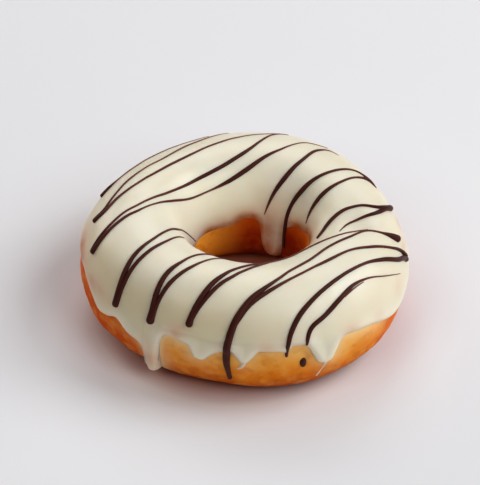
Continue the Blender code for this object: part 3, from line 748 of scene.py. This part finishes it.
def chocolate_material(name, roughness, specular):
    """Dark chocolate piped warm and set: near-black brown, browner where thin, softly shining."""
    material, tree, shader = new_material(name, {
        "Roughness": roughness, "IOR": 1.4, "Specular IOR Level": specular})
    place = add_node(tree, "ShaderNodeTexCoord").outputs["Object"]
    half = add_node(tree, "ShaderNodeAttribute", {"attribute_name": "half_width"}).outputs["Fac"]
    # Threads under about half a millimetre let light through
    body = add_node(tree, "ShaderNodeMapRange", {1: 0.12, 2: 0.45}, {0: half}).outputs[0]
    depth = add_node(tree, "ShaderNodeValToRGB", {"stops": (
        (0.0, "#7e5042"), (0.5, "#5a2e27"), (1.0, "#3c1a15"))}, {"Fac": body}).outputs["Color"]
    # Cloudy bloom of 5 mm, a little redder and paler
    clouds = add_node(tree, "ShaderNodeTexNoise", {"Scale": 1.0 / (5.0 * MM), "Detail": 2.0},
                      {"Vector": place}).outputs["Fac"]
    share = add_node(tree, "ShaderNodeMapRange", {1: 0.35, 2: 0.8, 3: 0.0, 4: 0.4},
                     {0: clouds}).outputs[0]
    bloomed = add_node(tree, "ShaderNodeMix", {"data_type": "RGBA", 7: linear("#552b22")},
                       {0: share, 6: depth}).outputs[2]
    tree.links.new(bloomed, shader.inputs["Base Color"])
    return material


def paper_material():
    """Seamless matt paper, pale neutral grey, with reddish painted shade round and under the ring: a
    contact shadow and dark ground in the hole.
    """
    material, tree, shader = new_material("pale_paper", {"Roughness": 0.9, "Specular IOR Level": 0.1})
    place = add_node(tree, "ShaderNodeTexCoord").outputs["Object"]
    middle = tuple(value * MM for value in PAINTED_SHADE_MIDDLE)
    away = add_node(tree, "ShaderNodeVectorMath", {"operation": "DISTANCE", 1: middle},
                    {0: place}).outputs["Value"]
    reach = add_node(tree, "ShaderNodeMapRange", {1: 0.0, 2: PAINTED_SHADE_REACH * MM}, {0: away}).outputs[0]
    # Reddish painted shade: darkest under the dough, paler in the hole's middle and past the ring
    colour = add_node(tree, "ShaderNodeValToRGB", {"stops": (
        (0.1, "#d9ccc4"), (0.28, "#b0684f"), (0.6, "#b0684f"), (0.77, "#e5dedd"), (0.86, "#e8e6e9"),
        (1.0, "#e9eaee"))}, {"Fac": reach}).outputs["Color"]
    tree.links.new(colour, shader.inputs["Base Color"])
    return material


def even_places(stroke):
    """A smooth line through a stroke's points at even steps of its length."""
    marks = np.array(stroke, float)
    marks[:, 0] = np.degrees(np.unwrap(np.radians(marks[:, 0])))
    spans = np.linalg.norm(np.diff(surface(marks[:, 0], marks[:, 1]), axis=0), axis=1)
    knots = np.concatenate(((0.0,), np.cumsum(spans)))
    slopes = np.gradient(marks, knots, axis=0)
    at = np.linspace(0.0, knots[-1], max(int(knots[-1] / BEAD_STEP), 8))
    left = np.clip(np.searchsorted(knots, at, side="right") - 1, 0, len(spans) - 1)
    span = spans[left][:, None]
    t = (at - knots[left])[:, None] / span
    return hermite(t, span, marks[left], marks[left + 1], slopes[left], slopes[left + 1]).T


def settled(points):
    """A line of points with its corners rounded, as chocolate settles over a step."""
    window = 2 * SETTLING + 1
    padded = np.pad(points, ((SETTLING, SETTLING), (0, 0)), mode="edge")
    return sum(padded[step:step + len(points)] for step in range(window)) / window


def bead_centres(turn, lean, half, finder):
    """The middle of a bead that lies on the glaze and runs over its lip onto the dough."""
    low, high = edges(turn)
    on_glaze, from_edge = glaze_points(turn, lean, np.zeros(len(turn), bool), finder)
    on_dough = dough_points(turn, lean)
    share = np.where((lean > low) & (lean < high), ease(from_edge / OVER_LIP), 0.0)[:, None]
    lying = settled(on_dough + (on_glaze - on_dough) * share)
    return lying + outward(turn, lean) * (BEAD_STAND * half)[:, None]


def run_centres(turn, lean, half, finder):
    """The middle of a run of icing that is half sunk in the dough's face."""
    return dough_points(turn, lean) + outward(turn, lean) * (RUN_STAND * half)[:, None]


def bead_paths(name, strokes, centres, finder):
    """One curve line along each stroke, every point's radius its half width."""
    data = bpy.data.curves.new(name, "CURVE")
    data.dimensions = "3D"
    for stroke in strokes:
        turn, lean, half = even_places(stroke)
        middle = (centres(turn, lean, half, finder) + SHIFT) * MM
        line = data.splines.new("POLY")
        line.points.add(len(turn) - 1)
        for point, centre, radius in zip(line.points, middle.tolist(), half.tolist()):
            point.co = (*centre, 1.0)
            point.radius = radius * MM
    path = bpy.data.objects.new(name, data)
    bpy.context.scene.collection.objects.link(path)
    return path


def bead_tree(name, material):
    """Geometry Nodes: sweep a round bead along every path, its ends rounded by its own radius."""
    tree = bpy.data.node_groups.new(name, "GeometryNodeTree")
    tree.interface.new_socket("Geometry", in_out="INPUT", socket_type="NodeSocketGeometry")
    for given_name in ("Step", "Fullness", "Tip share"):
        tree.interface.new_socket(given_name, in_out="INPUT", socket_type="NodeSocketFloat")
    tree.interface.new_socket("Sides", in_out="INPUT", socket_type="NodeSocketInt")
    tree.interface.new_socket("Geometry", in_out="OUTPUT", socket_type="NodeSocketGeometry")
    given = add_node(tree, "NodeGroupInput").outputs
    fine = add_node(tree, "GeometryNodeResampleCurve", {"mode": "LENGTH"},
                    {"Curve": given["Geometry"], "Length": given["Step"]})
    radius = add_node(tree, "GeometryNodeInputRadius").outputs[0]
    in_mm = add_node(tree, "ShaderNodeMath", {"operation": "DIVIDE", 1: MM}, {0: radius}).outputs[0]
    kept = add_node(tree, "GeometryNodeStoreNamedAttribute",
                    {"data_type": "FLOAT", "domain": "POINT", "Name": "half_width"},
                    {"Geometry": fine.outputs[0], "Value": in_mm})
    along = add_node(tree, "GeometryNodeSplineParameter").outputs["Length"]
    whole = add_node(tree, "GeometryNodeSplineLength").outputs["Length"]
    left = add_node(tree, "ShaderNodeMath", {"operation": "SUBTRACT"}, {0: whole, 1: along}).outputs[0]
    nearest = add_node(tree, "ShaderNodeMath", {"operation": "MINIMUM"}, {0: along, 1: left}).outputs[0]
    tip = add_node(tree, "ShaderNodeMath", {"operation": "MULTIPLY"},
                   {0: radius, 1: given["Tip share"]}).outputs[0]
    share = add_node(tree, "ShaderNodeMath", {"operation": "DIVIDE", "use_clamp": True},
                     {0: nearest, 1: tip}).outputs[0]
    away = add_node(tree, "ShaderNodeMath", {"operation": "SUBTRACT", 0: 1.0}, {1: share}).outputs[0]
    squared = add_node(tree, "ShaderNodeMath", {"operation": "MULTIPLY"}, {0: away, 1: away}).outputs[0]
    inside = add_node(tree, "ShaderNodeMath", {"operation": "SUBTRACT", 0: 1.0 + TIP_BLUNTNESS},
                      {1: squared}).outputs[0]
    rounded = add_node(tree, "ShaderNodeMath", {"operation": "SQRT"}, {0: inside}).outputs[0]
    shaped = add_node(tree, "ShaderNodeMath", {"operation": "MULTIPLY"},
                      {0: radius, 1: rounded}).outputs[0]
    full = add_node(tree, "ShaderNodeMath", {"operation": "MULTIPLY"},
                    {0: shaped, 1: given["Fullness"]}).outputs[0]
    ring = add_node(tree, "GeometryNodeCurvePrimitiveCircle", {"Radius": 1.0},
                    {"Resolution": given["Sides"]})
    swept = add_node(tree, "GeometryNodeCurveToMesh", {"Fill Caps": True},
                     {"Curve": kept.outputs[0], "Profile Curve": ring.outputs[0], "Scale": full})
    smooth = add_node(tree, "GeometryNodeSetShadeSmooth", links={0: swept.outputs[0]})
    real = add_node(tree, "GeometryNodeRealizeInstances", links={0: smooth.outputs[0]})
    painted = add_node(tree, "GeometryNodeSetMaterial", {"Material": material},
                       {"Geometry": real.outputs[0]})
    add_node(tree, "NodeGroupOutput", links={0: painted.outputs[0]})
    return tree


def make_beads(name, strokes, centres, material, finder):
    """The strokes as one plain mesh of closed beads."""
    path = bead_paths(name, strokes, centres, finder)
    tree = bead_tree(name + "_tree", material)
    modifier = path.modifiers.new("beads", "NODES")
    modifier.node_group = tree
    sizes = {"Step": BEAD_STEP * MM, "Fullness": BEAD_FULLNESS, "Tip share": TIP_SHARE,
             "Sides": BEAD_SIDES}
    for socket in tree.interface.items_tree:
        if socket.in_out == "INPUT" and socket.name in sizes:
            modifier[socket.identifier] = sizes[socket.name]
    bpy.context.view_layer.update()
    shown = path.evaluated_get(bpy.context.evaluated_depsgraph_get())
    mesh = bpy.data.meshes.new_from_object(shown)
    mesh.name = name
    path.modifiers.remove(modifier)
    bpy.data.objects.remove(path, do_unlink=True)
    body = bmesh.new()
    body.from_mesh(mesh)
    bmesh.ops.remove_doubles(body, verts=body.verts, dist=WELD * MM)
    bmesh.ops.recalc_face_normals(body, faces=body.faces)
    body.to_mesh(mesh)
    body.free()
    piece = bpy.data.objects.new(name, mesh)
    bpy.context.scene.collection.objects.link(piece)
    return piece


def make_drop(material):
    """The fallen drop, a flattened bead on the bare dough."""
    body = bmesh.new()
    bmesh.ops.create_icosphere(body, subdivisions=DROP_FINENESS, radius=1.0)
    turn, lean = np.array((DROP_TURN,)), np.array((DROP_LEAN,))
    out = outward(turn, lean)[0]
    centre = dough_points(turn, lean)[0]
    across = unit(np.cross((0.0, 0.0, 1.0), out))
    along = np.cross(out, across)
    for vertex in body.verts:
        wide, tall, deep = np.array(vertex.co) * DROP_SIZE
        vertex.co = (centre + SHIFT + across * wide + along * tall + out * deep) * MM
    mesh = bpy.data.meshes.new("chocolate_drop")
    body.to_mesh(mesh)
    body.free()
    mesh.polygons.foreach_set("use_smooth", [True] * len(mesh.polygons))
    layer = mesh.attributes.new("half_width", "FLOAT", "POINT")
    layer.data.foreach_set("value", [DROP_SIZE[0]] * len(mesh.vertices))
    mesh.materials.append(material)
    piece = bpy.data.objects.new("chocolate_drop", mesh)
    bpy.context.scene.collection.objects.link(piece)
    return piece


def make_floor():
    """A wide pale floor that reaches the horizon behind the object."""
    bpy.ops.mesh.primitive_plane_add(size=FLOOR_SIZE * MM, location=(0.0, 0.0, -FLOOR_DROP * MM))
    floor = bpy.context.object
    floor.name = "studio_floor"
    floor.data.materials.append(paper_material())


# The camera that the photograph fits: 40 degrees above the horizon, 0.6 m away
CAMERA_ELEVATION = 40.0
CAMERA_DISTANCE = 0.6
AIM_HEIGHT = 0.016
PIXELS_PER_MM = 3.5498
FRAME_W = 480
FRAME_H = 485
CENTRE_X = 246.58
CENTRE_Y = 254.64
SENSOR_MM = 36.0


def make_camera():
    """Perspective camera whose aim is slid so that the ring sits where the photograph has it."""
    data = bpy.data.cameras.new("photo_camera")
    data.sensor_fit = "AUTO"
    data.sensor_width = SENSOR_MM
    focal_pixels = PIXELS_PER_MM * CAMERA_DISTANCE / MM
    data.lens = SENSOR_MM * focal_pixels / max(FRAME_W, FRAME_H)
    camera = bpy.data.objects.new("photo_camera", data)
    bpy.context.scene.collection.objects.link(camera)
    tilt = math.radians(CAMERA_ELEVATION)
    right = Vector((1.0, 0.0, 0.0))
    upward = Vector((0.0, math.sin(tilt), math.cos(tilt)))
    back = Vector((0.0, -math.cos(tilt), math.sin(tilt)))
    slide = (right * (FRAME_W / 2 - CENTRE_X) + upward * (CENTRE_Y - FRAME_H / 2)) / PIXELS_PER_MM * MM
    shift = Vector((SHIFT[0], SHIFT[1], 0.0)) * MM
    camera.location = Vector((0.0, 0.0, AIM_HEIGHT)) + back * CAMERA_DISTANCE + slide + shift
    camera.rotation_euler = (math.pi / 2 - tilt, 0.0, 0.0)
    bpy.context.scene.camera = camera


# Round softboxes: name, height above the horizon, bearing from the front, watts, colour
LIGHT_DISTANCE = 1.5
LIGHT_SIZE = 0.83
LIGHTS = (
    ("right_softbox", 45.0, 98.0, 10.2, "#ffffff"),
    ("front_right_softbox", 45.0, 45.0, 5.7, "#ffffff"),
    ("back_left_low", 20.0, 225.0, 5.8, "#fff7f0"),
    ("back_softbox", 45.0, 180.0, 4.8, "#ffffff"),
    ("right_low", 20.0, 90.0, 3.8, "#ffffff"),
    ("front_left_fill", 45.0, 315.0, 3.8, "#fff7f0"),
    ("left_high", 68.0, 225.0, 1.6, "#ffffff"),
    ("front_right_low", 15.0, 52.0, 2.1, "#ffffff"),
)
WORLD_STRENGTH = 0.012


def make_light():
    """Soft studio light: a strong softbox at the right, weaker ones around, dim surroundings."""
    world = bpy.data.worlds.new("studio")
    world.use_nodes = True
    world.node_tree.nodes["Background"].inputs["Color"].default_value = linear("#f2f3f6")
    world.node_tree.nodes["Background"].inputs["Strength"].default_value = WORLD_STRENGTH
    bpy.context.scene.world = world
    for name, height, bearing, watts, colour in LIGHTS:
        data = bpy.data.lights.new(name, "AREA")
        data.shape = "DISK"
        data.size = LIGHT_SIZE
        data.energy = watts
        data.color = linear(colour)[:3]
        light = bpy.data.objects.new(name, data)
        up, around = math.radians(height), math.radians(bearing)
        way = Vector((math.cos(up) * math.sin(around), -math.cos(up) * math.cos(around), math.sin(up)))
        light.location = way * LIGHT_DISTANCE
        light.rotation_euler = way.to_track_quat("Z", "Y").to_euler()
        bpy.context.scene.collection.objects.link(light)


def dress():
    """Every piece with its material and the body that it rides on."""
    finder = edge_finder()
    chocolate = chocolate_material("dark_chocolate", DRIZZLE_ROUGHNESS, DRIZZLE_SPECULAR)
    glaze = icing_material()
    dough = make_dough(finder)
    dough.data.materials.append(fried_dough_material())
    icing = make_icing(finder)
    icing.data.materials.append(glaze)
    drizzle = make_beads("chocolate_drizzle", STROKES, bead_centres, chocolate, finder)
    runs = make_beads("icing_runs", ICING_RUNS, run_centres, glaze, finder)
    layer = runs.data.attributes.new("thin", "FLOAT", "POINT")
    layer.data.foreach_set("value", [RUN_THIN] * len(runs.data.vertices))
    drop = make_drop(chocolate_material("glossy_chocolate", DROP_ROUGHNESS, DROP_SPECULAR))
    for piece in (dough, icing, drizzle, runs, drop):
        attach(piece, "root")
    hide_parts("dough")
    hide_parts("icing")


bpy.context.scene.view_settings.view_transform = "Standard"
make_camera()
make_light()
make_floor()
dress()
